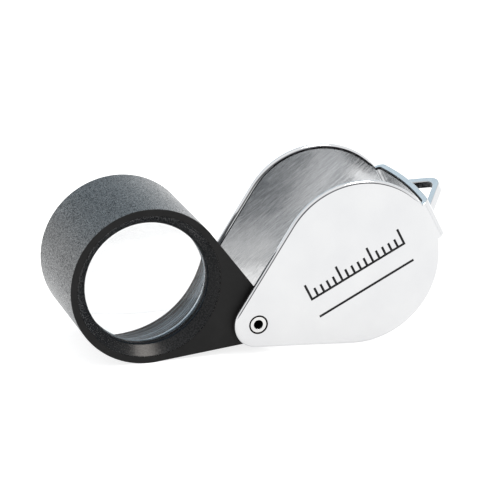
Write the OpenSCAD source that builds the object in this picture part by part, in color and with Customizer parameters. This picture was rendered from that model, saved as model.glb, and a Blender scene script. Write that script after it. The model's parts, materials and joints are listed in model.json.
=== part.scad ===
// Folding viewing loupe: a two-lens barrel that swings out of a folded metal case.
// It stands on edge as a shallow arch, on the barrel and on the big end of the case.
// +X runs from the barrel to the case, +Y is the hinge axis, from the front plate to the
// back plate, and +Z is up. The origin is on the surface it stands on, under the middle.

/* [Stance] */
// Height of the hinge axis above the surface, with the loupe open
hinge_height = 4.35; // [3.8:0.05:5]

/* [Case plates] */
// Outside depth across the two plates
case_depth = 19; // [19:0.1:22]
// Thickness of the folded sheet
sheet_t = 1; // [0.8:0.05:1.2]
// Radius of a plate at its big end
plate_big_r = 11.8; // [11:0.1:12]
// Radius of a plate round the rivet
plate_small_r = 3.4; // [2.5:0.1:4]
// Distance from the rivet to the centre of the big end
plate_reach = 16.5; // [15:0.1:17]

/* [Bridge and cord loop] */
// Width of the bridge that joins the two plates
bridge_w = 5.8; // [4:0.1:8]
// How far the bridge sits below the case's centre line
bridge_drop = 0.25; // [0:0.05:1]
// Distance from the rivet to the bridge's outer face, at the middle of its bow
bridge_reach = 29.65; // [29.5:0.05:31]
// Radius of the bridge's outward bow
bridge_bow_r = 75; // [70:1:200]
// Outer radius of the two bends where the plates turn into the bridge
bend_r = 1.6; // [1.3:0.05:1.6]
// Width of the strip that is lanced out of the bridge for the cord loop
loop_w = 1.2; // [0.8:0.1:2]
// Distance from the rivet to the tip of the cord loop
loop_reach = 33.35; // [33:0.05:35]
// Outer radius of the loop's rounded tip
loop_tip_r = 3.2; // [1.5:0.1:3.5]
// Slope of the loop's two legs, in degrees from the bridge
loop_slope = 36.5; // [33:0.5:40]

/* [Hinge] */
// Radius of the tubular rivet's shank
rivet_r = 0.9; // [0.8:0.02:1]
// Radius of the hole through the rivet
rivet_bore_r = 0.65; // [0.4:0.05:0.7]
// Radius of the rivet's flush head, and of its rolled end
rivet_head_r = 1.14; // [1.1:0.01:1.4]
// Thickness of the rivet's head
rivet_head_t = 0.4; // [0.2:0.05:0.5]
// Outer radius of the sleeve that holds the plates apart
sleeve_r = 1.35; // [1.3:0.05:1.8]
// Radius of the friction washers
washer_r = 2.6; // [2.2:0.1:2.8]
// Thickness of a friction washer
washer_t = 0.2; // [0.1:0.05:0.2]

/* [Lens barrel] */
// Outer radius of the barrel
barrel_r = 11; // [10.9:0.05:11.05]
// Length of the barrel along its optical axis
barrel_length = 16.5; // [15.8:0.1:16.55]
// Distance from the rivet to the optical axis
barrel_reach = 16.55; // [16:0.05:16.6]
// Radius of the ear round the rivet
ear_r = 2.9; // [2.6:0.1:3.8]
// Radius of the cone at the barrel's front face
cone_r = 10; // [9.2:0.1:10.4]
// Depth of the front cone
cone_depth = 1.5; // [1:0.1:2]
// Radius of the clear opening
opening_r = 8.75; // [8:0.05:8.8]
// Thickness of the lip that holds the front lens
lip_t = 0.3; // [0.2:0.05:0.5]

/* [Lenses] */
// Radius of a lens
lens_r = 9; // [8.9:0.05:9.1]
// Thickness of a lens at its edge
lens_edge_t = 1.2; // [0.8:0.1:2]
// Radius of curvature of both faces of a lens
lens_curve_r = 35; // [28:1:60]
// Radius of the spacer's bore, and of a lens's two round faces
spacer_bore_r = 8.65; // [8:0.05:8.7]
// Outer radius of the threaded ring that holds the rear lens
ring_r = 9.45; // [9.3:0.05:9.6]
// Thickness of that ring
ring_t = 1.5; // [1:0.1:1.8]
// How far the ring sits inside the barrel's rear face
ring_recess = 0.3; // [0:0.1:0.5]

/* [Engraved scale] */
// Length of the engraved scale, in whole millimetres
scale_length = 15; // [5:1:16]
// Distance from the rivet to the scale's first tick
scale_start = 8.2; // [7:0.1:9]
// Width of an engraved line
scale_line = 0.34; // [0.15:0.01:0.4]
// Height of every fifth tick
scale_tall = 2.6; // [1.5:0.1:2.8]
// Height of the ticks between
scale_short = 1.5; // [0.8:0.1:1.8]

/* [Hidden] */
$fn = 96;
eps = 0.01;
// How far a straight side runs inside the arc it flows into, so that the two cross cleanly
seam = 0.01;

// The arch touches the surface under the case's big end and under the barrel.
case_tilt = asin((plate_big_r - hinge_height) / plate_reach);
barrel_lift = asin((barrel_r - hinge_height) / barrel_reach);
barrel_turn = 180 - barrel_lift;

// The loop's lower edge and the barrel's far side are the two ends of the loupe.
loop_low_y = -bridge_drop - loop_w / 2;
case_end_x = loop_reach * cos(case_tilt) - loop_low_y * sin(case_tilt);
barrel_end_x = -barrel_reach * cos(barrel_lift) - barrel_r;
hinge_x = -(case_end_x + barrel_end_x) / 2;

plate_outer_z = case_depth / 2;
plate_inner_z = plate_outer_z - sheet_t;
barrel_front_z = barrel_length / 2;

// The bow's arc runs into the two bend arcs without a corner.
bow_centre_x = bridge_reach - bridge_bow_r;
bend_centre_z = plate_outer_z - bend_r;
bend_centre_x = bow_centre_x + sqrt(pow(bridge_bow_r - bend_r, 2) - pow(bend_centre_z, 2));
bow_half_angle = asin(bend_centre_z / (bridge_bow_r - bend_r));
plate_inset = 0.2;
loop_tip_x = loop_reach - loop_tip_r;
loop_foot_x = bend_centre_x + bend_r - sheet_t / 2;

// Clearances between parts that are fixed together, and between those that turn
fixed_gap = 0.02;
hinge_gap = 0.05;
lens_gap = 0.05;
thread_gap = 0.03;
head_gap = 0.17;
head_recess_r = rivet_head_r + head_gap;
head_sink = 0.02;

front_lens_z = barrel_front_z - cone_depth - lip_t;
rear_lens_z = -barrel_front_z + ring_recess + ring_t;
lens_face_r = spacer_bore_r - lens_gap;
lens_rim_drop = sqrt(pow(lens_curve_r, 2) - pow(lens_face_r, 2));
ring_mouth_r = (ring_r + spacer_bore_r) / 2;
key_slot_w = 1.2;
key_slot_depth = 0.6;

groove_depth = 0.12;
inlay_t = 0.1;
scale_base_y = -1.1;
underline_y = -4;

// Local frames: the hinge axis is local Z, towards the front plate, through the origin.
// In the case's frame local X runs from the hinge to the bridge, and in the barrel's
// frame it runs from the hinge to the optical axis.
module at_hinge(turn) {
    translate([hinge_x, 0, hinge_height])
        rotate([90, 0, 0])
            rotate([0, 0, turn])
                children();
}

module in_case() {
    at_hinge(case_tilt) children();
}

module in_barrel() {
    at_hinge(barrel_turn) children();
}

// A cylinder along the hinge axis between two heights
module disc(r, z_low, z_high) {
    translate([0, 0, z_low]) cylinder(r = r, h = z_high - z_low);
}

module ring(outer_r, inner_r, z_low, z_high) {
    difference() {
        disc(outer_r, z_low, z_high);
        disc(inner_r, z_low - eps, z_high + eps);
    }
}

// A small circle at the hinge and a big one at reach, joined by their outer tangents
module teardrop(small_r, big_r, reach) {
    lean = acos((small_r - big_r) / reach);
    small_end = (small_r - seam) * [cos(lean), sin(lean)];
    big_end = (big_r - seam) * [cos(lean), sin(lean)];
    circle(r = small_r);
    translate([reach, 0]) circle(r = big_r);
    polygon([
        [small_end.x, small_end.y],
        [small_end.x, -small_end.y],
        [reach + big_end.x, -big_end.y],
        [reach + big_end.x, big_end.y]
    ]);
}

// A flat plate, which ends just inside the bend
module plate() {
    translate([0, 0, plate_inner_z]) linear_extrude(sheet_t) intersection() {
        teardrop(plate_small_r, plate_big_r, plate_reach);
        translate([-case_depth, -case_depth])
            square([case_depth + bend_centre_x + plate_inset, 2 * case_depth]);
    }
}

// Section of the folded strip, drawn in X and Z: everything within inset of its outer face
module fold_region(inset) {
    half = plate_outer_z - inset;
    bow_r = bridge_bow_r - inset - seam;
    polygon([
        [plate_reach, -half],
        [bend_centre_x, -half],
        [bend_centre_x, half],
        [plate_reach, half]
    ]);
    for (side = [-1, 1])
        translate([bend_centre_x, side * bend_centre_z]) circle(r = bend_r - inset);
    translate([bow_centre_x, 0]) intersection() {
        circle(r = bow_r, $fn = 360);
        polygon([
            [0, 0],
            [2 * bow_r, -2 * bow_r * tan(bow_half_angle)],
            [2 * bow_r, 2 * bow_r * tan(bow_half_angle)]
        ]);
    }
}

// Section of the cord loop, drawn in X and Z: a rounded tip on two straight legs
module loop_region(inset, base_x) {
    tip_r = loop_tip_r - inset;
    side_x = loop_tip_x + (tip_r - seam) * cos(loop_slope);
    side_z = (tip_r - seam) * sin(loop_slope);
    base_z = side_z + (side_x - base_x) / tan(loop_slope);
    translate([loop_tip_x, 0]) intersection() {
        circle(r = tip_r);
        translate([0, -tip_r]) square([tip_r, 2 * tip_r]);
    }
    polygon([[side_x, side_z], [side_x, -side_z], [base_x, -base_z], [base_x, base_z]]);
}

// A section drawn in X and Z, given a width about the bridge's middle line
module across_bridge(width) {
    translate([0, width / 2 - bridge_drop, 0])
        rotate([90, 0, 0])
            linear_extrude(width) children();
}

module bridge() {
    difference() {
        across_bridge(bridge_w) fold_region(0);
        across_bridge(bridge_w + 1) fold_region(sheet_t);
        across_bridge(loop_w) loop_region(sheet_t, bend_centre_x);
    }
}

// The strip pushed out of the bridge's slot, whose legs start inside the sheet
module cord_loop() {
    across_bridge(loop_w) difference() {
        loop_region(0, loop_foot_x);
        loop_region(sheet_t, bend_centre_x);
    }
}

// Scale with a tick every millimetre, over a plain line
module scale_lines() {
    translate([scale_start - scale_line / 2, scale_base_y])
        square([scale_length + scale_line, scale_line]);
    for (mark = [0 : scale_length])
        translate([scale_start + mark - scale_line / 2, scale_base_y])
            square([scale_line, mark % 5 == 0 ? scale_tall : scale_short]);
    translate([scale_start - scale_line / 2, underline_y])
        square([scale_length + scale_line, scale_line]);
}

// Lens with two round faces, whose rim runs down from the origin
module lens() {
    disc(lens_r, -lens_edge_t, 0);
    intersection() {
        translate([0, 0, -lens_rim_drop]) sphere(r = lens_curve_r, $fn = 360);
        disc(lens_face_r, -eps, lens_curve_r - lens_rim_drop);
    }
    intersection() {
        translate([0, 0, lens_rim_drop - lens_edge_t]) sphere(r = lens_curve_r, $fn = 360);
        disc(lens_face_r, lens_rim_drop - lens_curve_r - lens_edge_t, eps - lens_edge_t);
    }
}

module friction_washer() {
    ring(washer_r, sleeve_r + hinge_gap, plate_inner_z - washer_t, plate_inner_z);
}

// Case, folded from one sheet: two plates, the bridge between them and its cord loop
module folded_case() {
    color("gainsboro") in_case() difference() {
        union() {
            plate();
            mirror([0, 0, 1]) plate();
            bridge();
            cord_loop();
        }
        disc(rivet_r + fixed_gap, -case_depth, case_depth);
        for (side = [0, 1]) mirror([0, 0, side])
            disc(head_recess_r, plate_outer_z - rivet_head_t - head_sink, case_depth);
        translate([0, 0, plate_outer_z - groove_depth]) linear_extrude(sheet_t) scale_lines();
    }
}

// Black enamel in the engraved scale
module scale_inlay() {
    color("black") in_case()
        translate([0, 0, plate_outer_z - groove_depth]) linear_extrude(inlay_t) scale_lines();
}

// Tubular rivet with a flush head, and an end rolled over in the back plate
module hinge_rivet() {
    end_z = plate_outer_z - head_sink;
    color("lightgray") in_case() difference() {
        union() {
            disc(rivet_r, -end_z, end_z);
            disc(rivet_head_r, end_z - rivet_head_t, end_z);
            disc(rivet_head_r, -end_z, rivet_head_t - end_z);
        }
        disc(rivet_bore_r, -case_depth, case_depth);
    }
}

// Sleeve that keeps the rivet from pinching the plates on to the barrel
module hinge_sleeve() {
    color("goldenrod") in_case()
        ring(sleeve_r, rivet_r + fixed_gap, -plate_inner_z, plate_inner_z);
}

module front_friction_washer() {
    color("dimgray") in_case() friction_washer();
}

module back_friction_washer() {
    color("dimgray") in_case() mirror([0, 0, 1]) friction_washer();
}

// Barrel and its ear, bored from the rear as far as the front lip
module lens_barrel() {
    color("darkslategray") in_barrel() difference() {
        translate([0, 0, -barrel_front_z])
            linear_extrude(barrel_length) teardrop(ear_r, barrel_r, barrel_reach);
        disc(sleeve_r + hinge_gap, -barrel_length, barrel_length);
        translate([barrel_reach, 0, 0]) {
            disc(opening_r, 0, barrel_length);
            disc(lens_r + lens_gap, -barrel_length, front_lens_z);
            disc(ring_r + thread_gap, -barrel_length, rear_lens_z);
            translate([0, 0, barrel_front_z - cone_depth])
                cylinder(r1 = opening_r, r2 = cone_r, h = cone_depth);
            disc(cone_r, barrel_front_z, barrel_length);
        }
    }
}

module front_lens() {
    color("aliceblue") in_barrel() translate([barrel_reach, 0, front_lens_z]) lens();
}

module rear_lens() {
    color("aliceblue") in_barrel()
        translate([barrel_reach, 0, rear_lens_z]) mirror([0, 0, 1]) lens();
}

// Tube that holds the two lenses apart by their edges
module lens_spacer() {
    color("slategray") in_barrel() translate([barrel_reach, 0, 0])
        ring(lens_r, spacer_bore_r, rear_lens_z + lens_edge_t, front_lens_z - lens_edge_t);
}

// Threaded ring behind the rear lens, with two slots for a key
module lens_retaining_ring() {
    outer_z = rear_lens_z - ring_t;
    color("dimgray") in_barrel() translate([barrel_reach, 0, 0]) difference() {
        disc(ring_r, outer_z, rear_lens_z);
        disc(spacer_bore_r, outer_z - eps, rear_lens_z + eps);
        translate([0, 0, outer_z])
            cylinder(r1 = ring_mouth_r, r2 = spacer_bore_r, h = ring_t / 2);
        translate([-ring_r - 1, -key_slot_w / 2, outer_z - eps])
            cube([2 * ring_r + 2, key_slot_w, key_slot_depth + eps]);
    }
}

folded_case();
scale_inlay();
hinge_rivet();
hinge_sleeve();
front_friction_washer();
back_friction_washer();
lens_barrel();
front_lens();
lens_spacer();
rear_lens();
lens_retaining_ring();
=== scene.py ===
"""Looks of the folding viewing loupe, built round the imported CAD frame.

Shapes are worked out in millimetres in two local frames: local Z is the hinge axis towards
the front plate, and local X runs from the hinge to the bridge (case) or to the optical axis
(barrel). Every piece is then placed in the model's own frame, in metres.
"""
import json
import math

import bpy
import numpy as np
from mathutils import Matrix, Vector
from mathutils.geometry import delaunay_2d_cdt


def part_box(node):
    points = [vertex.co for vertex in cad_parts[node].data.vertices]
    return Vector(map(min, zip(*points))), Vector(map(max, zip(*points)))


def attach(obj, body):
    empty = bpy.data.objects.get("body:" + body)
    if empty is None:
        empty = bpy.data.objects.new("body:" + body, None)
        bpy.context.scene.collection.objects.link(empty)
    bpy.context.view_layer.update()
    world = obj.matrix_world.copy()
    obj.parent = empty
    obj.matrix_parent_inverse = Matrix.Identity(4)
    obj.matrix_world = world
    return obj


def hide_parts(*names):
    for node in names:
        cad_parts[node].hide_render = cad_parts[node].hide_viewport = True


MM = 0.001

# Case sheet, as in the CAD part
SHEET_T = 1.0
PLATE_BIG_R, PLATE_SMALL_R, PLATE_REACH = 11.8, 3.4, 16.5
PLATE_OUTER_Z = 9.5
BRIDGE_W, BRIDGE_DROP, BRIDGE_REACH, BOW_R, BEND_R = 5.8, 0.25, 29.65, 75.0, 1.6
LOOP_W, LOOP_REACH, LOOP_TIP_R, LOOP_SLOPE = 1.2, 33.35, 3.2, math.radians(36.5)
LOOP_FOOT_R = 0.8
SLIT_GAP = 0.03
# Rounding of the rims, round the plates and along the bridge, and the change between them
PLATE_EDGE, PLATE_ROLL, STRIP_EDGE, STRIP_ROLL, LOOP_EDGE = 0.47, 0.62, 0.12, 0.27, 0.12
RIM_STEPS, BLEND_BEFORE, BLEND_LENGTH = 8, 0.1, 0.5
# How many steps of the inner rounding carry painted shade and dark reflection, up to how far past the notch
SHADED_STEPS = ((0, RIM_STEPS), (6, 3), (13, 2), (math.inf, 1))
# How far the creases in the mesh keep from the rims, the slit, its ends and each other
RIM_CLEAR, SLIT_CLEAR, END_CLEAR, SAME_PLACE = 0.3, 0.1, 0.12, 0.02
BOW_STEPS, BEND_STEPS, BIG_STEPS, SMALL_STEPS, HOLE_STEPS = 12, 22, 70, 56, 72
SOLVE_STEPS, FOOT_STEPS, TIP_STEPS, STRIP_TURNS, STRIP_CLOSE = 60, 7, 14, 4, 3

# Hinge
RIVET_R, RIVET_BORE_R, RIVET_HEAD_R, RIVET_HEAD_T, HEAD_SINK = 0.9, 0.65, 1.14, 0.4, 0.02
RIVET_HOLE_R, HEAD_RECESS_R, HOLE_EDGE = 0.92, 1.31, 0.05
# Its two roundings, and how many steps of its profile, up to the head's corner, are painted dark as shade
RIVET_LIP, RIVET_CORNER, RIVET_SHADED_STEPS = 0.06, 0.05, 6

# Engraved scale
SCALE_START, SCALE_LENGTH, SCALE_LINE = 8.2, 15, 0.34
SCALE_BASE_Y, UNDERLINE_Y, SCALE_TALL, SCALE_SHORT, GROOVE_DEPTH = -1.1, -4.0, 2.6, 1.5, 0.12
TALL_EVERY = 5
PROBE = 0.01  # how far beside an edge of a groove the test for its inside is made

# Barrel
BARREL_R, EAR_R, BARREL_FRONT_Z, BARREL_EDGE, EAR_BORE_R = 11.0, 2.9, 8.25, 0.1, 1.4
CONE_R, CONE_DEPTH, OPENING_R, LIP_T = 10.0, 1.5, 8.75, 0.3
# The cone's broken edges: setback and drop at its mouth, then setback, rise and drop at the lip
MOUTH_BREAK, MOUTH_DROP, LIP_BREAK, LIP_RISE, LIP_DROP = 0.05, 0.03, 0.04, 0.05, 0.02
LENS_BORE_R, RING_BORE_R, RING_T, RING_RECESS, RING_R = 9.05, 9.48, 1.5, 0.3, 9.45
LENS_R, LENS_EDGE_T, LENS_CURVE_R, SPACER_BORE_R, LENS_GAP = 9.0, 1.2, 35.0, 8.65, 0.05
KEY_SLOT_W, KEY_SLOT_DEPTH, RING_EDGE = 1.2, 0.6, 0.08
THREAD_DEPTH, THREAD_PITCH, THREAD_START, THREAD_END = 0.12, 0.3, 0.1, 0.35
BORE_EDGE, LENS_BEVEL = 0.1, 0.08
# The spacer's turned lines: their number, and which of them give way to a bright land
RIDGES, RIDGE_DEPTH, LAND_DEPTH, SPACER_CHAMFER, LAND = 26, 0.1, 0.02, 0.2, (6, 8)
BARREL_STEPS, EAR_STEPS, EDGE_STEPS, BORE_STEPS, GLASS_STEPS = 260, 48, 4, 200, 160
EAR_BORE_STEPS, DOME_STEPS, RING_STEPS, SLOT_STEPS = 64, 32, 44, 4
FRONT_LENS_Z = BARREL_FRONT_Z - CONE_DEPTH - LIP_T
REAR_LENS_Z = RING_RECESS + RING_T - BARREL_FRONT_Z

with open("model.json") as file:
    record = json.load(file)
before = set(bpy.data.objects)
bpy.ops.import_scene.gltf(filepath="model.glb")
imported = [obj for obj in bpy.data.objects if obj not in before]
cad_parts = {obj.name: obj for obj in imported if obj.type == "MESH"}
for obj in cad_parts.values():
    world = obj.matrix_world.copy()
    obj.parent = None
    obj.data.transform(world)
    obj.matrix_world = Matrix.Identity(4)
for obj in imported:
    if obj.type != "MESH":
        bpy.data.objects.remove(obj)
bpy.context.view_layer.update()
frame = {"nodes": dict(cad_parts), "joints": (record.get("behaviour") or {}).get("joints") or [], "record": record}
scene = bpy.context.scene


def show(name, data):
    """A new object in the scene with this data."""
    shown = bpy.data.objects.new(name, data)
    scene.collection.objects.link(shown)
    return shown


# ---------------------------------------------------------------- frames

joint = frame["joints"][0]
hinge = Vector(joint["pos_m"])
loop_mount = [m for m in frame["record"]["mounts"] if m["name"] == "cord_loop"][0]
case_tilt = math.atan2(-loop_mount["axis"][0], loop_mount["axis"][2])
lens_low, lens_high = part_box("front_lens")
optical = (lens_low + lens_high) / 2 - hinge
barrel_turn = math.atan2(optical.z, optical.x)
BARREL_REACH = math.hypot(optical.x, optical.z) / MM


def at_hinge(turn):
    """Places a local frame in millimetres, turned about the hinge by turn, in the model's."""
    c, s = math.cos(turn), math.sin(turn)
    axes = Matrix(((c, -s, 0, 0), (0, 0, -1, 0), (s, c, 0, 0), (0, 0, 0, 1)))
    return Matrix.Translation(hinge) @ axes @ Matrix.Scale(MM, 4)


CASE = at_hinge(case_tilt)
BARREL = at_hinge(barrel_turn)


# ---------------------------------------------------------------- mesh tools

POINT_DIGITS = 5    # points that agree to so many decimals of a millimetre are one vertex
MITRE_LIMIT = 0.5   # the least cosine that a mitre is worked out for
MERGE_DISTANCE = 1e-7
SMOOTH_COS = 0.8    # steps of a profile that turn by less than this are shaded as one curve


class Skin:
    """Faces with a normal at every corner. Corners at the same place become one vertex."""

    def __init__(self):
        self.points, self.index, self.faces, self.normals, self.mats = [], {}, [], [], []

    def vertex(self, p):
        """The number of the vertex at p, which is made if it is new."""
        key = tuple(round(c, POINT_DIGITS) for c in p)
        if key not in self.index:
            self.index[key] = len(self.points)
            self.points.append(key)
        return self.index[key]

    def face(self, corners, mat=0):
        """One face, turned to look the way that its corners' normals do."""
        kept = []
        for p, n in corners:
            v = self.vertex(p)
            if not kept or (kept[-1][0] != v and kept[0][0] != v):
                kept.append((v, n))
        if len(kept) < 3:
            return
        area = Vector((0, 0, 0))
        first = Vector(self.points[kept[0][0]])
        for (a, _), (b, _) in zip(kept[1:], kept[2:]):
            area += (Vector(self.points[a]) - first).cross(Vector(self.points[b]) - first)
        mean = sum((n for _, n in kept), Vector((0, 0, 0)))
        if area.dot(mean) < 0:
            kept.reverse()
        self.faces.append([v for v, _ in kept])
        self.normals += [n for _, n in kept]
        self.mats.append(mat)

    def strip(self, a, b, mat=0, closed=False):
        """Quads between two rows of (point, normal) corners of the same length."""
        count = len(a)
        for i in range(count if closed else count - 1):
            j = (i + 1) % count
            self.face([a[i], a[j], b[j], b[i]], mat)

    def build(self, name, place, materials):
        """The finished object, put in the model's frame by place."""
        mesh = bpy.data.meshes.new(name)
        mesh.from_pydata([place @ Vector(p) for p in self.points], [], self.faces)
        turn = place.to_3x3().normalized()
        for material in materials:
            mesh.materials.append(material)
        mesh.polygons.foreach_set("material_index", self.mats)
        mesh.polygons.foreach_set("use_smooth", [True] * len(self.faces))
        mesh.normals_split_custom_set([(turn @ n).normalized() for n in self.normals])
        mesh.update()
        return show(name, mesh)


def outward(loop):
    """Mitred outward normals of a closed loop that runs round its own area counter-clockwise."""
    count, out = len(loop), []
    for i in range(count):
        a, b, c = Vector(loop[i - 1]), Vector(loop[i]), Vector(loop[(i + 1) % count])
        first, second = (b - a).normalized(), (c - b).normalized()
        n1, n2 = Vector((first.y, -first.x)), Vector((second.y, -second.x))
        mean = (n1 + n2).normalized()
        out.append((mean, 1 / max(mean.dot(n1), MITRE_LIMIT)))
    return out


def inside(points, loops):
    """Which points lie inside an odd number of the loops."""
    points = np.asarray(points, float).reshape(-1, 2)
    odd = np.zeros(len(points), bool)
    for loop in loops:
        ends = np.asarray(loop, float)
        for (x1, y1), (x2, y2) in zip(ends, np.roll(ends, -1, 0)):
            if y1 == y2:
                continue
            hit = (y1 > points[:, 1]) != (y2 > points[:, 1])
            odd ^= hit & (points[:, 0] < (x2 - x1) * (points[:, 1] - y1) / (y2 - y1) + x1)
    return odd


def fill(skin, loops, lift, mat=0, lines=()):
    """Fills a flat region bounded by loops with triangles, and lifts each point to a corner.

    lines are extra straight rows of points that the triangles follow."""
    points, edges = [], []
    for loop in loops:
        base = len(points)
        points += [Vector(p) for p in loop]
        edges += [(base + i, base + (i + 1) % len(loop)) for i in range(len(loop))]
    for a, b in lines:
        edges.append((len(points), len(points) + 1))
        points += [Vector(a), Vector(b)]
    co, _, tris, _, _, _ = delaunay_2d_cdt(points, edges, [], 0, MERGE_DISTANCE, True)
    middles = [sum((co[i] for i in t), Vector((0, 0))) / len(t) for t in tris]
    for t, keep in zip(tris, inside(middles, loops)):
        if keep:
            skin.face([lift(co[i].x, co[i].y) for i in t], mat)


def arc(centre, r, start, end, steps):
    """Points on an arc from one angle to another, both ends included."""
    turn = [start + (end - start) * i / steps for i in range(steps + 1)]
    return [(centre[0] + r * math.cos(a), centre[1] + r * math.sin(a)) for a in turn]


def circle(centre, r, steps):
    """Points round a whole circle, counter-clockwise."""
    return arc(centre, r, 0, 2 * math.pi, steps)[:-1]


def profile_normals(profile):
    """For each step of a profile of (radius, height), the normals at its two ends.

    Steps that meet at a small angle share one normal, so that arcs look round."""
    steps = []
    for (r1, z1), (r2, z2) in zip(profile, profile[1:]):
        length = math.hypot(r2 - r1, z2 - z1)
        steps.append(((z2 - z1) / length, -(r2 - r1) / length))
    out = []
    for i, n in enumerate(steps):
        ends = []
        for j in (i - 1, i + 1):
            if 0 <= j < len(steps) and n[0] * steps[j][0] + n[1] * steps[j][1] > SMOOTH_COS:
                m = (n[0] + steps[j][0], n[1] + steps[j][1])
                size = math.hypot(*m)
                ends.append((m[0] / size, m[1] / size))
            else:
                ends.append(n)
        out.append(ends)
    return out


def lathe(skin, profile, centre, steps, mats, map_point=None):
    """Turns a profile of (radius, height) round local Z. Its right-hand side is the outside.

    mats is one material's number, or a list with one for each step of the profile."""
    angles = [2 * math.pi * i / steps for i in range(steps)]
    kinds = [mats] * (len(profile) - 1) if isinstance(mats, int) else mats
    for i, (n1, n2) in enumerate(profile_normals(profile)):
        rows = []
        for (r, z), (nr, nz) in ((profile[i], n1), (profile[i + 1], n2)):
            row = []
            for a in angles:
                c, s = math.cos(a), math.sin(a)
                p = (centre[0] + r * c, centre[1] + r * s, z)
                n = Vector((nr * c, nr * s, nz))
                row.append(map_point(p, n) if map_point else (p, n))
            rows.append(row)
        skin.strip(rows[0], rows[1], kinds[i], closed=True)


def rounded(r, z, from_turn, to_turn, radius, steps=5):
    """A rounded corner of a profile, about the centre (r, z), between two angles in degrees."""
    return arc((r, z), radius, math.radians(from_turn), math.radians(to_turn), steps)


# ---------------------------------------------------------------- materials


class Nodes:
    """A short way to write a node tree."""

    def __init__(self, name):
        self.material = bpy.data.materials.new(name)
        self.material.use_nodes = True
        self.tree = self.material.node_tree
        self.tree.nodes.clear()
        self.out = self.tree.nodes.new("ShaderNodeOutputMaterial")
        self.shader = self.tree.nodes.new("ShaderNodeBsdfPrincipled")
        self.tree.links.new(self.shader.outputs["BSDF"], self.out.inputs["Surface"])
        self.place = self.tree.nodes.new("ShaderNodeTexCoord").outputs["Object"]

    def add(self, kind, inputs=(), **settings):
        """A node with its settings, and with inputs that are values or other nodes' outputs."""
        node = self.tree.nodes.new(kind)
        for key, value in settings.items():
            setattr(node, key, value)
        for key, value in dict(inputs).items():
            if isinstance(value, bpy.types.NodeSocket):
                self.tree.links.new(value, node.inputs[key])
            else:
                node.inputs[key].default_value = value
        return node

    def stretched(self, scale, turn=(0, 0, 0)):
        """The place, turned and then scaled by its own factor along each axis."""
        return self.add("ShaderNodeMapping", {"Vector": self.place, "Rotation": turn,
                                              "Scale": tuple(1 / k for k in scale)},
                        vector_type="TEXTURE").outputs["Vector"]

    def noise(self, scale, detail=3.0, rough=0.55, where=None):
        """Soft noise, with about scale lumps in a metre."""
        node = self.add("ShaderNodeTexNoise", {"Vector": where or self.place, "Scale": scale,
                                               "Detail": detail, "Roughness": rough})
        return node.outputs["Fac"]

    def grains(self, scale):
        """How far the nearest grain's middle is, with about scale grains in a metre."""
        node = self.add("ShaderNodeTexVoronoi", {"Vector": self.place, "Scale": scale})
        return node.outputs["Distance"]

    def spread(self, value, low, high, to_low=0.0, to_high=1.0):
        """value between low and high is stretched to between to_low and to_high, and clamped."""
        node = self.add("ShaderNodeMapRange", {"Value": value, "From Min": low,
                                               "From Max": high, "To Min": to_low,
                                               "To Max": to_high})
        return node.outputs["Result"]

    def colours(self, value, *stops):
        """A colour ramp over value, from stops of (place, colour)."""
        node = self.add("ShaderNodeValToRGB", {"Fac": value})
        ramp = node.color_ramp
        while len(ramp.elements) < len(stops):
            ramp.elements.new(0.5)
        for element, (place, colour) in zip(ramp.elements, stops):
            element.position = place
            element.color = (*colour, 1)
        return node.outputs["Color"]

    def mix(self, share, a, b):
        """Colour a where share is 0, and colour b where it is 1."""
        node = self.add("ShaderNodeMix", {"Factor": share}, data_type="RGBA")
        for socket, value in ((node.inputs[6], a), (node.inputs[7], b)):
            self.tree.links.new(value, socket)
        return node.outputs[2]

    def sum(self, a, b, share=1.0):
        """a plus share times b."""
        node = self.add("ShaderNodeMath", {0: b, 1: share, 2: a}, operation="MULTIPLY_ADD")
        return node.outputs[0]

    def bump(self, height, distance, strength=1.0, after=None):
        """The normal tilted by height, on top of the tilted normal after where one is given."""
        inputs = {"Height": height, "Distance": distance, "Strength": strength}
        if after is not None:
            inputs["Normal"] = after
        return self.add("ShaderNodeBump", inputs).outputs["Normal"]

    def set(self, **values):
        """The finished material, with these values or outputs in its shader's sockets."""
        for key, value in values.items():
            socket = self.shader.inputs[key.replace("_", " ")]
            if isinstance(value, bpy.types.NodeSocket):
                self.tree.links.new(value, socket)
            else:
                socket.default_value = value
        return self.material


def chrome_material():
    """Polished chrome plate: nearly a mirror, with slight waviness, haze and hairlines."""
    m = Nodes("case_chrome")
    haze = m.noise(140, 4)
    hair = m.noise(1.0, 2, 0.6, m.stretched((250, 250, 5200), (0, 0.5, 0.2)))
    colour = m.colours(haze, (0.3, (0.545, 0.55, 0.56)), (0.7, (0.58, 0.585, 0.59)))
    rough = m.sum(m.spread(haze, 0.3, 0.75, 0.05, 0.11), m.spread(hair, 0.62, 0.8), 0.08)
    wave = m.bump(m.noise(95, 2), 0.00002, 0.25)
    return m.set(Base_Color=colour, Metallic=1.0, Roughness=rough,
                 Normal=m.bump(hair, 0.0000015, 0.3, wave))


def inside_material():
    """Inner faces of the case: brushed on the slant before plating, and dulled by use."""
    m = Nodes("case_inside")
    brushed = m.noise(1.0, 4, 0.7, m.stretched((500, 300, 4200), (0, -0.62, 0)))
    fine = m.noise(1.0, 3, 0.6, m.stretched((900, 600, 7500), (0, -0.85, 0)))
    cloud = m.noise(90, 4)
    colour = m.mix(m.spread(cloud, 0.42, 0.60),
                   m.colours(brushed, (0.35, (0.38, 0.39, 0.40)), (0.65, (0.59, 0.60, 0.61))),
                   m.colours(fine, (0.35, (0.54, 0.545, 0.55)), (0.65, (0.70, 0.705, 0.71))))
    rough = m.sum(m.spread(brushed, 0.35, 0.65, 0.05, 0.2), m.spread(cloud, 0.3, 0.7), 0.05)
    wave = m.bump(cloud, 0.00004, 0.4)
    return m.set(Base_Color=colour, Metallic=1.0, Roughness=rough,
                 Normal=m.bump(brushed, 0.00001, 0.7, m.bump(fine, 0.000003, 0.5, wave)))


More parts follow.
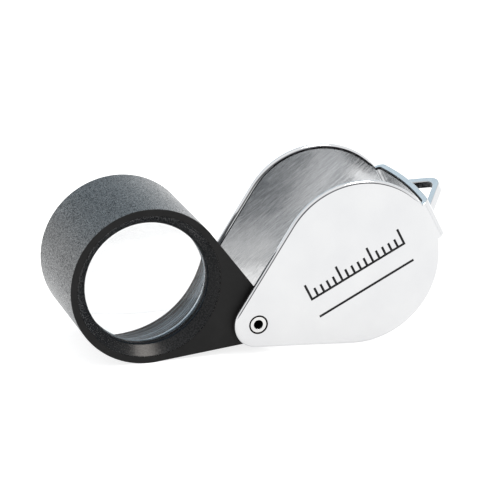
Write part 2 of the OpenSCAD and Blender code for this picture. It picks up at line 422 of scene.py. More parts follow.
def edge_material():
    """Cut edge of the sheet: blanked, lightly tumbled and plated, with faint shear lines."""
    m = Nodes("case_edge")
    shear = m.noise(1.0, 3, 0.6, m.stretched((3800, 500, 3800)))
    wear = m.noise(900, 4)
    colour = m.colours(wear, (0.3, (0.66, 0.68, 0.70)), (0.7, (0.74, 0.76, 0.77)))
    return m.set(Base_Color=colour, Metallic=1.0,
                 Roughness=m.spread(shear, 0.3, 0.7, 0.14, 0.28),
                 Normal=m.bump(shear, 0.000006, 0.4))


def painted_shade_material():
    """Painted shade in the gap round the rivet's heads: near black and barely reflecting."""
    m = Nodes("gap_painted_shade")
    grain = m.noise(5200, 3)
    return m.set(Base_Color=m.colours(grain, (0.3, (0.003, 0.003, 0.003)),
                                      (0.75, (0.012, 0.011, 0.010))),
                 Roughness=m.spread(grain, 0.3, 0.7, 0.45, 0.7), Specular_IOR_Level=0.05,
                 Normal=m.bump(grain, 0.00001, 0.4))


def shade_and_reflection_material():
    """Painted shade and dark reflections on the inner corners and the loop's inside: near black, with lighter
    blotches as painted reflections.
    """
    m = Nodes("case_shade_and_reflection")
    blotch = m.noise(1500, 4, 0.7)
    grain = m.noise(4200, 2)
    return m.set(Base_Color=m.colours(blotch, (0.44, (0.008, 0.008, 0.009)),
                                      (0.62, (0.05, 0.05, 0.053)), (0.76, (0.25, 0.25, 0.25))),
                 Metallic=0.9, Roughness=m.spread(grain, 0.3, 0.7, 0.15, 0.35),
                 Normal=m.bump(grain, 0.00001, 0.5))


def blasted_material():
    """Outer wall of the barrel: blasted aluminium, black anodised, with fine sparkle."""
    m = Nodes("barrel_blasted")
    grain = m.noise(5600, 1, 0.7)
    pits = m.grains(4200)
    cloud = m.noise(160, 3)
    colour = m.mix(m.spread(cloud, 0.35, 0.65),
                   m.colours(grain, (0.38, (0.003, 0.006, 0.008)), (0.64, (0.016, 0.021, 0.025))),
                   m.colours(grain, (0.38, (0.002, 0.004, 0.006)), (0.66, (0.012, 0.017, 0.021))))
    rough = m.sum(m.spread(pits, 0.1, 0.7, 0.16, 0.30), m.spread(cloud, 0.3, 0.7), 0.05)
    return m.set(Base_Color=colour, Metallic=0.0, Roughness=rough,
                 Specular_IOR_Level=m.spread(grain, 0.42, 0.61, 0.04, 0.87),
                 Sheen_Weight=0.26, Sheen_Roughness=0.18, Sheen_Tint=(0.95, 0.98, 1.0, 1.0),
                 Normal=m.bump(grain, 0.00005, 0.9))


def face_material():
    """Machined flat faces of the barrel and ear: satin black anodising."""
    m = Nodes("barrel_face")
    turned = m.noise(1.0, 3, 0.55, m.stretched((2400, 900, 2400)))
    cloud = m.noise(220, 4)
    colour = m.colours(cloud, (0.3, (0.0075, 0.0075, 0.0075)), (0.7, (0.012, 0.012, 0.012)))
    rough = m.sum(m.spread(turned, 0.3, 0.7, 0.36, 0.48), m.spread(cloud, 0.3, 0.7), 0.06)
    return m.set(Base_Color=colour, Metallic=0.0, Roughness=rough, Specular_IOR_Level=0.12,
                 Normal=m.bump(m.noise(5200, 2), 0.000008, 0.5))


def cone_material():
    """Conical rim round the front lens: blasted black with a fine sparkle."""
    m = Nodes("barrel_cone")
    grain = m.noise(4200, 2, 0.7)
    cloud = m.noise(180, 3)
    colour = m.mix(m.spread(cloud, 0.35, 0.65),
                   m.colours(grain, (0.4, (0.004, 0.005, 0.006)), (0.7, (0.009, 0.010, 0.012))),
                   m.colours(grain, (0.4, (0.003, 0.004, 0.005)), (0.7, (0.007, 0.008, 0.009))))
    return m.set(Base_Color=colour, Roughness=m.spread(grain, 0.3, 0.7, 0.22, 0.33),
                 Specular_IOR_Level=m.spread(grain, 0.42, 0.66, 0.15, 0.22),
                 Specular_Tint=(1.0, 0.97, 0.94, 1.0), Normal=m.bump(grain, 0.00001, 0.5))


def bore_material():
    """Inside of the barrel and spacer: dark, fine-turned and anodised, with the turned lines lightened and tinted
    blue as painted light and painted reflection.
    """
    m = Nodes("bore_black")
    cloud = m.noise(260, 4)
    line = m.noise(1.0, 3, 0.6, m.stretched((60, 1900, 60)))
    # the blue-grey of the light lines is painted reflection and painted light
    colour = m.mix(m.spread(cloud, 0.3, 0.7),
                   m.colours(line, (0.42, (0.018, 0.038, 0.056)), (0.58, (0.27, 0.35, 0.41))),
                   m.colours(line, (0.42, (0.014, 0.032, 0.048)), (0.58, (0.20, 0.275, 0.33))))
    return m.set(Base_Color=colour, Metallic=0.6,
                 Roughness=m.spread(line, 0.35, 0.65, 0.22, 0.4),
                 Normal=m.bump(line, 0.00002, 0.5))


def glass_material():
    """Optical glass, polished, with a breath of dust."""
    m = Nodes("lens_glass")
    dust = m.noise(420, 5, 0.7)
    specks = m.noise(5200, 2)
    clean = m.sum(m.spread(dust, 0.62, 0.85, 0.0, 0.02), m.spread(specks, 0.74, 0.85), 0.03)
    tint = m.colours(dust, (0.3, (0.875, 0.878, 0.880)), (0.8, (0.862, 0.868, 0.870)))
    return m.set(Base_Color=tint, Transmission_Weight=1.0, IOR=1.517, Roughness=clean,
                 Normal=m.bump(dust, 0.0000004, 0.2))


def ground_material():
    """Ground edge of a lens, inked black."""
    m = Nodes("lens_edge_black")
    grain = m.noise(7000, 3)
    return m.set(Base_Color=m.colours(grain, (0.3, (0.012, 0.012, 0.014)),
                                      (0.7, (0.035, 0.036, 0.038))),
                 Roughness=m.spread(grain, 0.3, 0.7, 0.55, 0.8),
                 Normal=m.bump(grain, 0.00002, 0.5))


def turned_metal(name, dark, light, low, high, metallic=1.0):
    """Small turned parts, with lines round the hinge axis."""
    m = Nodes(name)
    cloud = m.noise(700, 4)
    lines = m.noise(1.0, 3, 0.6, m.stretched((500, 9000, 500)))
    return m.set(Base_Color=m.colours(cloud, (0.3, dark), (0.7, light)), Metallic=metallic,
                 Roughness=m.spread(lines, 0.3, 0.7, low, high),
                 Normal=m.bump(lines, 0.000004, 0.4))


def enamel_material():
    """Black stoving enamel wiped into the engraved lines."""
    m = Nodes("scale_enamel")
    grain = m.noise(2600, 4)
    return m.set(Base_Color=m.colours(grain, (0.3, (0.004, 0.004, 0.0045)),
                                      (0.75, (0.018, 0.018, 0.02))),
                 Roughness=m.spread(grain, 0.3, 0.7, 0.3, 0.5), Specular_IOR_Level=0.12,
                 Normal=m.bump(grain, 0.00001, 0.4))


def floor_material():
    """Pale paper on a light table."""
    m = Nodes("floor_paper")
    fibre = m.noise(900, 4)
    return m.set(Base_Color=m.colours(fibre, (0.3, (0.38, 0.38, 0.38)),
                                      (0.7, (0.40, 0.40, 0.40))),
                 Roughness=m.spread(fibre, 0.3, 0.7, 0.8, 0.9), Specular_IOR_Level=0.1,
                 Emission_Color=(1, 1, 1, 1), Emission_Strength=0.80)


CHROME, INSIDE, EDGE = chrome_material(), inside_material(), edge_material()
PAINTED_SHADE, SHADE_AND_REFLECTION = painted_shade_material(), shade_and_reflection_material()
BLASTED, FACE, CONE, BORE = blasted_material(), face_material(), cone_material(), bore_material()
GLASS, GROUND = glass_material(), ground_material()
RIVET = turned_metal("rivet_steel", (0.52, 0.52, 0.52), (0.61, 0.61, 0.60), 0.1, 0.2)
BRASS = turned_metal("sleeve_brass", (0.62, 0.44, 0.18), (0.80, 0.60, 0.28), 0.2, 0.35)
STEEL = turned_metal("washer_steel", (0.30, 0.30, 0.31), (0.42, 0.42, 0.43), 0.25, 0.4)
BARE = turned_metal("spacer_land", (0.52, 0.60, 0.66), (0.70, 0.78, 0.83), 0.15, 0.3)
RING = turned_metal("ring_black", (0.018, 0.018, 0.02), (0.05, 0.052, 0.056), 0.28, 0.45, 0.4)
ENAMEL = enamel_material()


# ---------------------------------------------------------------- folded case

bow_centre_x = BRIDGE_REACH - BOW_R
bend_z = PLATE_OUTER_Z - BEND_R
bend_x = bow_centre_x + math.sqrt((BOW_R - BEND_R) ** 2 - bend_z**2)
bow_half = math.asin(bend_z / (BOW_R - BEND_R))
bow_length = BOW_R * bow_half
plate_u = bow_length + BEND_R * (math.pi / 2 - bow_half)
tip_u = plate_u + bend_x
big_u = tip_u - PLATE_REACH
notch_u = big_u - math.sqrt(PLATE_BIG_R**2 - BRIDGE_W**2 / 4)


def fold(u):
    """The sheet's outer surface at u along the fold: x, z and the outward normal's x and z.

    u is 0 in the middle of the bridge and grows towards the front plate."""
    side, u = (1, u) if u >= 0 else (-1, -u)
    if u < bow_length:
        a = u / BOW_R
        x, z, n = bow_centre_x + BOW_R * math.cos(a), BOW_R * math.sin(a), a
    elif u < plate_u:
        n = bow_half + (u - bow_length) / BEND_R
        x, z = bend_x + BEND_R * math.cos(n), bend_z + BEND_R * math.sin(n)
    else:
        x, z, n = bend_x - (u - plate_u), PLATE_OUTER_Z, math.pi / 2
    return x, side * z, math.cos(n), side * math.sin(n)


def on_sheet(u, v, depth=0.0, across=(0, 0), face=1.0):
    """The corner at (u, v) under the outer surface by depth. Its normal has the part across
    in the sheet's plane and the part face along the sheet's outward normal."""
    x, z, nx, nz = fold(u)
    normal = Vector((-nz * across[0] + nx * face, across[1], nx * across[0] + nz * face))
    return (x - nx * depth, v, z - nz * depth), normal.normalized()


def plate_outline():
    """Flat pattern of the sheet, counter-clockwise, with u as the first axis."""
    top, bottom = BRIDGE_W / 2 - BRIDGE_DROP, -BRIDGE_W / 2 - BRIDGE_DROP
    lean = math.acos((PLATE_SMALL_R - PLATE_BIG_R) / PLATE_REACH)
    start_low = math.pi + math.asin(-bottom / PLATE_BIG_R)
    start_high = math.pi - math.asin(top / PLATE_BIG_R)
    side_angle = math.pi - lean
    front = arc((big_u, 0), PLATE_BIG_R, start_low, 2 * math.pi - side_angle, BIG_STEPS)
    front += arc((tip_u, 0), PLATE_SMALL_R, -side_angle, side_angle, SMALL_STEPS)
    front += arc((big_u, 0), PLATE_BIG_R, side_angle, start_high, BIG_STEPS)
    back = [(-u, v) for u, v in reversed(front)]
    bends = [u for u in fold_lines() if abs(u) < min(front[0][0], front[-1][0]) - SAME_PLACE]
    lower = [(u, bottom) for u in bends]
    upper = [(u, top) for u in reversed(bends)]
    return lower + front + upper + back


def fold_lines():
    """Where the flat pattern is creased to follow the bow and the two bends."""
    bow = [bow_length * (i / BOW_STEPS) for i in range(-BOW_STEPS, BOW_STEPS + 1)]
    bend = [bow_length + (plate_u - bow_length) * i / BEND_STEPS
            for i in range(1, BEND_STEPS + 1)]
    return [-u for u in reversed(bend)] + bow + bend


def scale_outlines():
    """The grooves' outlines, in local x and y: the comb of ticks and the line under it."""
    half = SCALE_LINE / 2
    left, right = SCALE_START - half, SCALE_START + SCALE_LENGTH + half
    comb = [(left, SCALE_BASE_Y), (right, SCALE_BASE_Y)]
    for mark in range(SCALE_LENGTH, -1, -1):
        x = SCALE_START + mark
        y = SCALE_BASE_Y + (SCALE_TALL if mark % TALL_EVERY == 0 else SCALE_SHORT)
        comb += [(x + half, y), (x - half, y)]
        if mark:
            foot = SCALE_BASE_Y + SCALE_LINE
            comb += [(x - half, foot), (x - 1 + half, foot)]
    line = [(left, UNDERLINE_Y), (right, UNDERLINE_Y),
            (right, UNDERLINE_Y + SCALE_LINE), (left, UNDERLINE_Y + SCALE_LINE)]
    return [comb, line]


def loop_path():
    """The lanced strip's outer surface from its front foot to its back foot, as (x, z, nx, nz),
    and the place u of a foot."""
    slope = LOOP_SLOPE
    tip_x = LOOP_REACH - LOOP_TIP_R
    side = (tip_x + LOOP_TIP_R * math.cos(slope), LOOP_TIP_R * math.sin(slope))
    along = (-math.sin(slope), math.cos(slope))
    reach = 0.0
    for _ in range(SOLVE_STEPS):
        x, z = side[0] + along[0] * reach, side[1] + along[1] * reach
        reach += (math.hypot(x - bow_centre_x, z) - BOW_R) / (
            math.sin(slope) - z / BOW_R * math.cos(slope))
    foot_angle = math.asin(z / BOW_R)
    tangent = LOOP_FOOT_R * math.tan((slope - foot_angle) / 2)
    foot_u = foot_angle * BOW_R + tangent
    leg_end = (side[0] + along[0] * (reach - tangent), side[1] + along[1] * (reach - tangent))
    centre = (leg_end[0] + LOOP_FOOT_R * math.cos(slope),
              leg_end[1] + LOOP_FOOT_R * math.sin(slope))
    x, z, nx, nz = fold(foot_u)
    half = [(x, z, nx, nz)]
    turn = math.atan2(nz, nx)
    for i in range(1, FOOT_STEPS + 1):
        a = turn + (slope - turn) * i / FOOT_STEPS
        half.append((centre[0] - LOOP_FOOT_R * math.cos(a),
                     centre[1] - LOOP_FOOT_R * math.sin(a), math.cos(a), math.sin(a)))
    for i in range(TIP_STEPS):
        a = slope * (1 - i / TIP_STEPS)
        half.append((tip_x + LOOP_TIP_R * math.cos(a), LOOP_TIP_R * math.sin(a),
                     math.cos(a), math.sin(a)))
    half.append((LOOP_REACH, 0.0, 1.0, 0.0))
    return half + [(x, -z, nx, -nz) for x, z, nx, nz in reversed(half[:-1])], foot_u


def make_case():
    """The folded sheet: two plates, the bridge between them and the loop pushed out of it."""
    # corner is painted shade and dark reflection on the inner roundings and the loop's inside
    # the fourth kind is painted shade in the rivet recesses
    outside, inner, cut, gap_shade, corner = range(5)
    skin = Skin()
    outline = plate_outline()
    sides = outward(outline)
    path, foot_u = loop_path()
    low, high = -BRIDGE_DROP - LOOP_W / 2, -BRIDGE_DROP + LOOP_W / 2

    # rims, rounded more round the plates than along the bridge, and rolled off inside
    rows, outer_loop, inner_loop, steps = [], [], [], RIM_STEPS
    for (u, v), (n, mitre) in zip(outline, sides):
        blend = min(max((abs(u) - notch_u + BLEND_BEFORE) / BLEND_LENGTH, 0), 1)
        edge = STRIP_EDGE + (PLATE_EDGE - STRIP_EDGE) * blend
        roll = STRIP_ROLL + (PLATE_ROLL - STRIP_ROLL) * blend
        sunk = STRIP_ROLL + (PLATE_EDGE - STRIP_ROLL) * blend
        rim = []
        for reach, drop, face in ((edge, edge, 1), (roll, sunk, -1)):
            for i in range(steps + 1):
                a = math.pi / 2 * (i if face == 1 else steps - i) / steps
                depth = drop * (1 - math.cos(a))
                rim.append((reach * (1 - math.sin(a)), depth if face == 1 else SHEET_T - depth,
                            math.sin(a) * drop / reach, face * math.cos(a)))
        rows.append([on_sheet(u - n.x * mitre * inset, v - n.y * mitre * inset, depth,
                              (n.x * out, n.y * out), up) for inset, depth, out, up in rim])
        outer_loop.append((u - n.x * mitre * edge, v - n.y * mitre * edge))
        inner_loop.append((u - n.x * mitre * roll, v - n.y * mitre * roll))
    for k, (u, _) in enumerate(outline):
        dark = next(count for reach, count in SHADED_STEPS if abs(u) - notch_u < reach)
        a, b = rows[k], rows[(k + 1) % len(rows)]
        # the last steps of the inner rounding are painted shade and dark reflection
        kinds = [outside] * steps + [cut] + [outside] * (steps - dark) + [corner] * dark
        for i, kind in enumerate(kinds):
            skin.face([a[i], b[i], b[i + 1], a[i + 1]], kind)

    # the slit that the loop is pushed out of
    slit_us = [foot_u] + [u for u in reversed(fold_lines()) if abs(u) < foot_u - END_CLEAR]
    slit_us += [-foot_u]
    slit = []
    for v, gap in ((low, -SLIT_GAP), (high, SLIT_GAP)):
        row = [(u, v + (0 if abs(u) == foot_u else gap)) for u in slit_us]
        slit.append(row)
    slit_loop = slit[0] + list(reversed(slit[1]))
    for row, away in zip(slit, (1, -1)):
        top = [on_sheet(u, v, 0, (0, away), 0) for u, v in row]
        deep = [on_sheet(u, v, SHEET_T, (0, away), 0) for u, v in row]
        skin.strip(top, deep, cut)

    # rivet holes, one in each plate
    hole = circle((tip_u, 0), HEAD_RECESS_R + HOLE_EDGE, HOLE_STEPS)
    inner_hole = circle((tip_u, 0), RIVET_HOLE_R, HOLE_STEPS)
    recess = rounded(HEAD_RECESS_R + HOLE_EDGE, -HOLE_EDGE, 90, 180, HOLE_EDGE, 4)
    recess += [(HEAD_RECESS_R, -RIVET_HEAD_T - HEAD_SINK),
               (RIVET_HOLE_R, -RIVET_HEAD_T - HEAD_SINK), (RIVET_HOLE_R, -SHEET_T)]
    for side in (1, -1):
        def place(p, n, side=side):
            return (p[0], p[1], side * (p[2] + PLATE_OUTER_Z)), Vector((n.x, n.y, side * n.z))
        # the whole recess, its rounded edge too, is painted dark as shade
        lathe(skin, recess, (0, 0), HOLE_STEPS, gap_shade, place)
    mirrored = [(-u, v) for u, v in reversed(hole)]
    inner_mirrored = [(-u, v) for u, v in reversed(inner_hole)]

    # grooves of the scale, in the front plate only
    grooves = [[(tip_u - x, y) for x, y in g] for g in scale_outlines()]
    for groove in grooves:
        for i in range(len(groove)):
            j = (i + 1) % len(groove)
            edge = Vector(groove[j]) - Vector(groove[i])
            n = Vector((edge.y, -edge.x)).normalized()
            middle = (Vector(groove[i]) + Vector(groove[j])) / 2
            if not inside([middle + n * PROBE], [groove])[0]:
                n = -n
            skin.face([on_sheet(*groove[i], 0, n, 0), on_sheet(*groove[j], 0, n, 0),
                       on_sheet(*groove[j], GROOVE_DEPTH, n, 0),
                       on_sheet(*groove[i], GROOVE_DEPTH, n, 0)], outside)
        fill(skin, [groove], lambda u, v: on_sheet(u, v, GROOVE_DEPTH), outside)

    # the two skins of the sheet
    top_v = BRIDGE_W / 2 - BRIDGE_DROP - RIM_CLEAR
    bottom_v = -BRIDGE_W / 2 - BRIDGE_DROP + RIM_CLEAR
    creases = []
    for u in fold_lines():
        if abs(u) < foot_u + SAME_PLACE:
            creases += [((u, bottom_v), (u, low - SLIT_CLEAR)),
                        ((u, high + SLIT_CLEAR), (u, top_v))]
        else:
            creases.append(((u, bottom_v), (u, top_v)))
    fill(skin, [outer_loop, slit_loop, hole, mirrored] + grooves, on_sheet, outside, creases)
    fill(skin, [inner_loop, slit_loop, inner_hole, inner_mirrored],
         lambda u, v: on_sheet(u, v, SHEET_T, (0, 0), -1.0), inner, creases)

    # the loop's strip, whose rounded section closes to a plain one at its feet
    middle, last, turns = (low + high) / 2, len(path) - 1, STRIP_TURNS
    section = []
    for upper, outer, start in ((1, 1, 0), (1, -1, 90), (-1, -1, 180), (-1, 1, 270)):
        for i in range(turns):
            turn = math.radians(start + 90 * i / (turns - 1))
            section.append((upper, outer, math.cos(turn), math.sin(turn)))
    stations = []
    for k, (x, z, nx, nz) in enumerate(path):
        r = LOOP_EDGE * min(k, last - k, STRIP_CLOSE) / STRIP_CLOSE
        station = []
        for upper, outer, out, up in section:
            v = middle + upper * (LOOP_W / 2 - r) + r * up
            depth = SHEET_T / 2 - outer * (SHEET_T / 2 - r) - r * out
            station.append(((x - nx * depth, v, z - nz * depth),
                            Vector((nx * out, up, nz * out))))
        stations.append(station)
    for a, b in zip(stations, stations[1:]):
        for i in range(len(section)):
            j = (i + 1) % len(section)
            # the loop's inner face is painted shade and dark reflection
            flats = {turns - 1: cut, 2 * turns - 1: corner, 3 * turns - 1: cut}
            skin.face([a[i], a[j], b[j], b[i]], flats.get(i, outside))
    return skin.build("case_sheet", CASE, [CHROME, INSIDE, EDGE, PAINTED_SHADE, SHADE_AND_REFLECTION])


# ---------------------------------------------------------------- barrel


def make_barrel():
    """The barrel and its ear, with the cone in front and the ring's thread at the rear."""
    wall, flat, cone, bore = range(4)
    skin = Skin()
    lean = math.acos((EAR_R - BARREL_R) / BARREL_REACH)
    outline = arc((BARREL_REACH, 0), BARREL_R, -lean, lean, BARREL_STEPS)
    outline += arc((0, 0), EAR_R, lean, 2 * math.pi - lean, EAR_STEPS)
    sides = outward(outline)
    edge, top = BARREL_EDGE, BARREL_FRONT_Z
    rim = []
    for i in range(EDGE_STEPS + 1):
        a = math.pi / 2 * i / EDGE_STEPS
        rim.append((edge * (1 - math.sin(a)), top - edge * (1 - math.cos(a)), math.sin(a),
                    math.cos(a)))
    rim += [(inset, -z, out, -up) for inset, z, out, up in reversed(rim)]
    rows = [[((x - n.x * inset, y - n.y * inset, z), Vector((n.x * out, n.y * out, up)))
             for inset, z, out, up in rim] for (x, y), (n, _) in zip(outline, sides)]
    for i in range(len(rim) - 1):
        kind = wall if i == EDGE_STEPS else flat
        skin.strip([r[i] for r in rows], [r[i + 1] for r in rows], kind, closed=True)
    face = [(x - n.x * edge, y - n.y * edge) for (x, y), (n, _) in zip(outline, sides)]

    # the cone, its edges and the stepped bore, from the front to the rear
    axis, lip = (BARREL_REACH, 0), FRONT_LENS_Z
    start_z, end_z = top - MOUTH_DROP, lip + LIP_T + LIP_RISE
    end_r = OPENING_R + LIP_BREAK
    profile = [(CONE_R + MOUTH_BREAK, top)]
    for share in (0.0, 0.05, 0.95, 1.0):  # short end steps, so that the cone is shaded flat
        profile.append((CONE_R + (end_r - CONE_R) * share, start_z + (end_z - start_z) * share))
    profile += [(OPENING_R, lip + LIP_T - LIP_DROP), (OPENING_R, lip), (LENS_BORE_R, lip),
                (LENS_BORE_R, REAR_LENS_Z), (RING_BORE_R, REAR_LENS_Z)]
    cone_steps = 5  # the broken edges are finished like the cone
    z = REAR_LENS_Z - THREAD_START
    while z > -top + THREAD_END:
        profile += [(RING_BORE_R, z), (RING_BORE_R + THREAD_DEPTH, z - THREAD_DEPTH),
                    (RING_BORE_R, z - 2 * THREAD_DEPTH)]
        z -= THREAD_PITCH
    profile += [(RING_BORE_R, -top + THREAD_DEPTH), (RING_BORE_R + BORE_EDGE, -top)]
    kinds = [cone] * cone_steps + [bore] * (len(profile) - 1 - cone_steps)
    lathe(skin, profile[::-1], axis, BORE_STEPS, kinds[::-1])

    ear_r = EAR_BORE_R + BORE_EDGE
    ear = [(ear_r, top), (EAR_BORE_R, top - BORE_EDGE), (EAR_BORE_R, -top + BORE_EDGE),
           (ear_r, -top)]
    lathe(skin, ear, (0, 0), EAR_BORE_STEPS, bore)

    ear_hole = circle((0, 0), ear_r, EAR_BORE_STEPS)
    for side, (mouth_r, _) in ((1, profile[0]), (-1, profile[-1])):
        fill(skin, [face, circle(axis, mouth_r, BORE_STEPS), ear_hole],
             lambda x, y, side=side: ((x, y, side * top), Vector((0, 0, side))), flat)
    return skin.build("barrel_shell", BARREL, [BLASTED, FACE, CONE, BORE])


def make_lens(name, rim_z, side):
    """A lens with two round faces. The rim of its outer face is at rim_z."""
    glass, ground = range(2)
    clear_r, bevel, steps = SPACER_BORE_R - LENS_GAP, LENS_BEVEL, DOME_STEPS
    rim_drop = math.sqrt(LENS_CURVE_R**2 - clear_r**2)
    dome = []
    for i in range(steps + 1):
        r = clear_r * i / steps
        dome.append((r, math.sqrt(LENS_CURVE_R**2 - r * r) - rim_drop))
    edge = [(LENS_R - bevel, -LENS_EDGE_T), (LENS_R, -LENS_EDGE_T + bevel),
            (LENS_R, -bevel), (LENS_R - bevel, 0)]
    profile = [(r, -LENS_EDGE_T - z) for r, z in dome] + edge + dome[::-1]
    kinds = [glass] * steps + [ground] * (len(edge) + 1) + [glass] * steps

    def place(p, n):
        return (p[0], p[1], rim_z + side * p[2]), Vector((n.x, n.y, side * n.z))

    skin = Skin()
    lathe(skin, profile, (BARREL_REACH, 0), GLASS_STEPS, kinds, place)
    return skin.build(name, BARREL, [GLASS, GROUND])


def make_spacer():
    """The spacer, with fine turned lines down its bore against stray light, and a plain
    bright land between them."""
    dull, bright = range(2)
    top, bottom = FRONT_LENS_Z - LENS_EDGE_T, REAR_LENS_Z + LENS_EDGE_T
    pitch = (top - bottom - 2 * SPACER_CHAMFER) / RIDGES
    mouth_r, rim_r = SPACER_BORE_R + BORE_EDGE, LENS_R - BORE_EDGE
    profile = [(LENS_R, bottom + BORE_EDGE), (LENS_R, top - BORE_EDGE), (rim_r, top),
               (mouth_r, top)]
    kinds = [dull] * len(profile)
    for i in range(RIDGES):
        z = top - SPACER_CHAMFER - pitch * i
        plain = LAND[0] <= i < LAND[1]
        depth = LAND_DEPTH if plain else RIDGE_DEPTH
        profile += [(SPACER_BORE_R, z), (SPACER_BORE_R + depth, z - pitch / 2)]
        kinds += [bright if plain else dull] * 2
    end = [(SPACER_BORE_R, bottom + SPACER_CHAMFER), (mouth_r, bottom), (rim_r, bottom),
           profile[0]]
    kinds += [dull] * (len(end) - 1)
    skin = Skin()
    lathe(skin, profile + end, (BARREL_REACH, 0), GLASS_STEPS, kinds)
    return skin.build("spacer_tube", BARREL, [BORE, BARE])


def make_ring():
    """Threaded ring with a chamfered bore and two slots for a key."""
    outer, inner = REAR_LENS_Z - RING_T, REAR_LENS_Z
    half_slot = math.asin(KEY_SLOT_W / 2 / RING_R)
    angles = []  # each with False in the full section, or True in a slot
    for side in (0, math.pi):
        start, end = side + half_slot, side + math.pi - half_slot
        angles += [(start + (end - start) * i / RING_STEPS, False)
                   for i in range(RING_STEPS + 1)]
        angles += [(end + 2 * half_slot * i / SLOT_STEPS, True) for i in range(SLOT_STEPS + 1)]
    small = RING_EDGE
    skin = Skin()
    cone_mid = outer + RING_T / 2
    floor = outer + KEY_SLOT_DEPTH
    mouth_r = (RING_R + SPACER_BORE_R) / 2
    cone_r = mouth_r + (SPACER_BORE_R - mouth_r) * KEY_SLOT_DEPTH / (RING_T / 2)
    full = [(SPACER_BORE_R, inner), (SPACER_BORE_R, cone_mid), (cone_r, floor),
            (mouth_r, outer + small), (mouth_r + small, outer), (RING_R - small, outer),
            (RING_R, outer + small), (RING_R, floor), (RING_R, inner), (SPACER_BORE_R, inner)]
    cut = [(SPACER_BORE_R, inner), (SPACER_BORE_R, cone_mid), (cone_r, floor), (cone_r, floor),
           (cone_r, floor), (RING_R, floor), (RING_R, floor), (RING_R, floor),
           (RING_R, inner), (SPACER_BORE_R, inner)]
    normals = profile_normals(full)
    first, last = 2, 7  # the corners of the full section that a slot takes away
    for k, (a, in_slot) in enumerate(angles):
        b, next_in_slot = angles[(k + 1) % len(angles)]
        if in_slot != next_in_slot:
            # the wall of a slot: the full section beside the cut one
            turn = Vector((-math.sin(a), math.cos(a), 0)) * (1 if next_in_slot else -1)
            skin.face([((BARREL_REACH + r * math.cos(a), r * math.sin(a), z), turn)
                       for r, z in full[first:last + 1]])
            continue
        section = cut if in_slot else full
        for i, (n1, n2) in enumerate(normals):
            corners = []
            for ang, j, n in ((a, i, n1), (b, i, n1), (b, i + 1, n2), (a, i + 1, n2)):
                r, z = section[j]
                normal = Vector((n[0] * math.cos(ang), n[0] * math.sin(ang), n[1]))
                if in_slot and first <= i < last:
                    normal = Vector((0, 0, -1))
                corners.append(((BARREL_REACH + r * math.cos(ang), r * math.sin(ang), z),
                                normal))
            skin.face(corners)
    return skin.build("key_ring", BARREL, [RING])


def make_rivet():
    """Tubular rivet with a flush head and a rolled end, both softly rounded."""
    bright, dark_shade = range(2)
    end, lip, corner = PLATE_OUTER_Z - HEAD_SINK, RIVET_LIP, RIVET_CORNER
    upper = [(RIVET_R, 0.0), (RIVET_R, end - RIVET_HEAD_T), (RIVET_HEAD_R, end - RIVET_HEAD_T)]
    upper += rounded(RIVET_HEAD_R - corner, end - corner, 0, 90, corner)
    upper += rounded(RIVET_BORE_R + lip, end - lip, 90, 180, lip, 7)
    upper.append((RIVET_BORE_R, 0.0))
    # the shank, the head's side, part of its corner and the bore are painted dark as shade
    kinds = [dark_shade] * RIVET_SHADED_STEPS + [bright] * (len(upper) - RIVET_SHADED_STEPS - 2) + [dark_shade]
    profile = [(r, -z) for r, z in reversed(upper[1:-1])] + upper
    profile.append(profile[0])
    skin = Skin()
    lathe(skin, profile, (0, 0), HOLE_STEPS, kinds[-2::-1] + kinds + [dark_shade])
    return skin.build("rivet_tube", CASE, [RIVET, PAINTED_SHADE])


def dressed(node, material):
    """A CAD node that is shown as it is, with its finished material."""
    shown = frame["nodes"][node]
    shown.data.materials.clear()
    shown.data.materials.append(material)


for make, body, node, slot in (
        (make_case, "case", "folded_case", "case_chrome"),
        (make_rivet, "case", "hinge_rivet", "rivet_steel"),
        (make_barrel, "barrel", "lens_barrel", "barrel_black"),
        (lambda: make_lens("front_glass", FRONT_LENS_Z, 1), "barrel", "front_lens",
         "lens_glass"),
        (lambda: make_lens("rear_glass", REAR_LENS_Z, -1), "barrel", "rear_lens", "lens_glass"),
        (make_spacer, "barrel", "lens_spacer", "spacer_black"),
        (make_ring, "barrel", "lens_retaining_ring", "ring_black")):
    piece = make()
    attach(piece, body)
    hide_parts(node)

dressed("scale_inlay", ENAMEL)
dressed("hinge_sleeve", BRASS)
dressed("front_friction_washer", STEEL)
dressed("back_friction_washer", STEEL)


# ---------------------------------------------------------------- floor, light, camera

scene.view_settings.view_transform = "Standard"

FLOOR_HALF = 6.0
CORNERS = ((-1, -1), (1, -1), (1, 1), (-1, 1))
floor_mesh = bpy.data.meshes.new("floor")
floor_mesh.from_pydata([(x * FLOOR_HALF, y * FLOOR_HALF, 0) for x, y in CORNERS], [],
                       [(0, 1, 2, 3)])
floor_mesh.materials.append(floor_material())
floor = show("floor", floor_mesh)

# Where the tent changes from its front zone to its sides, and from those to its back zone
FRONT_TO_SIDES, SIDES_TO_BACK = (-0.8, -0.5), (0.4, 0.8)


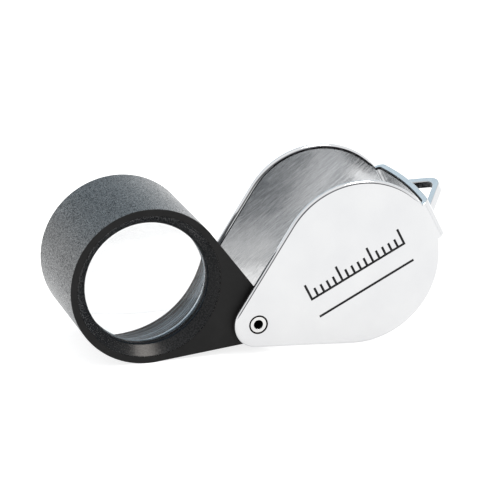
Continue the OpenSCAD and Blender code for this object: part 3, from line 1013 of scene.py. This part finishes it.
def studio(strength, front, sides, back):
    """A soft white tent, dark round the camera and bluer behind the object. Each zone's
    colours come with the sine of the elevation that they are at."""
    world = bpy.data.worlds.new("studio")
    world.use_nodes = True
    nodes, links = world.node_tree.nodes, world.node_tree.links
    split = nodes.new("ShaderNodeSeparateXYZ")
    links.new(nodes.new("ShaderNodeTexCoord").outputs["Generated"], split.inputs[0])

    def stretched(axis, low, high):
        """One part of the direction looked in, as 0 at low and 1 at high."""
        node = nodes.new("ShaderNodeMapRange")
        node.inputs["From Min"].default_value = low
        node.inputs["From Max"].default_value = high
        links.new(split.outputs[axis], node.inputs["Value"])
        return node.outputs["Result"]

    height = stretched("Z", -1.0, 1.0)
    colours = []
    for stops in (front, sides, back):
        ramp = nodes.new("ShaderNodeValToRGB")
        links.new(height, ramp.inputs["Fac"])
        while len(ramp.color_ramp.elements) < len(stops):
            ramp.color_ramp.elements.new(0.5)
        for element, (level, colour) in zip(ramp.color_ramp.elements, stops):
            element.position = (level + 1) / 2
            element.color = (*colour, 1)
        colours.append(ramp.outputs["Color"])
    seen = colours[0]
    for colour, (low, high) in zip(colours[1:], (FRONT_TO_SIDES, SIDES_TO_BACK)):
        blend = nodes.new("ShaderNodeMix")
        blend.data_type = "RGBA"
        links.new(stretched("Y", low, high), blend.inputs[0])
        links.new(seen, blend.inputs[6])
        links.new(colour, blend.inputs[7])
        seen = blend.outputs[2]
    links.new(seen, nodes["Background"].inputs["Color"])
    nodes["Background"].inputs["Strength"].default_value = strength
    scene.world = world


studio(1.6,
       [(0.0, (0.95, 0.95, 0.95)), (0.05, (0.12, 0.12, 0.12)), (0.42, (0.09, 0.09, 0.10)),
        (0.62, (0.50, 0.50, 0.51)), (0.80, (0.9, 0.9, 0.9)), (1.0, (0.9, 0.9, 0.9))],
       [(0.0, (0.95, 0.95, 0.95)), (0.5, (0.80, 0.80, 0.81)), (1.0, (0.9, 0.9, 0.9))],
       [(0.02, (1.0, 1.0, 1.0)), (0.14, (0.90, 0.94, 0.97)), (0.30, (0.41, 0.49, 0.545)),
        (0.52, (0.45, 0.53, 0.585)), (0.72, (0.35, 0.40, 0.44)), (1.0, (0.9, 0.9, 0.9))])


def softbox(name, place, target, size, glow, colour):
    """A square flat light whose face is as bright as glow."""
    light = bpy.data.lights.new(name, "AREA")
    light.shape, light.size = "SQUARE", size
    light.energy, light.color = glow * math.pi * size * size, colour
    lamp = show(name, light)
    lamp.location = place
    aim = Vector(target) - Vector(place)
    lamp.rotation_euler = aim.to_track_quat("-Z", "Y").to_euler()


softbox("overhead", (0.21, -0.11, 0.66), (0, 0, 0.01), 0.25, 19.0, (1, 0.97, 0.94))

CAMERA_AT = Vector((-119.68, -360.0, 142.0)) * MM
CAMERA_TO = Vector((-0.15, 0.0, 11.88)) * MM
CAMERA_ROLL = math.radians(0.4)
FOCAL_LENGTH, SENSOR_WIDTH = 207.17, 36.0
lens_data = bpy.data.cameras.new("camera")
lens_data.lens, lens_data.sensor_width = FOCAL_LENGTH, SENSOR_WIDTH
lens_data.clip_start, lens_data.clip_end = 0.01, 20
camera = show("camera", lens_data)
look = (CAMERA_TO - CAMERA_AT).to_track_quat("-Z", "Y").to_matrix()
camera.matrix_world = Matrix.Translation(CAMERA_AT) @ (
    look @ Matrix.Rotation(CAMERA_ROLL, 3, "Z")).to_4x4()
scene.camera = camera

bpy.context.view_layer.update()
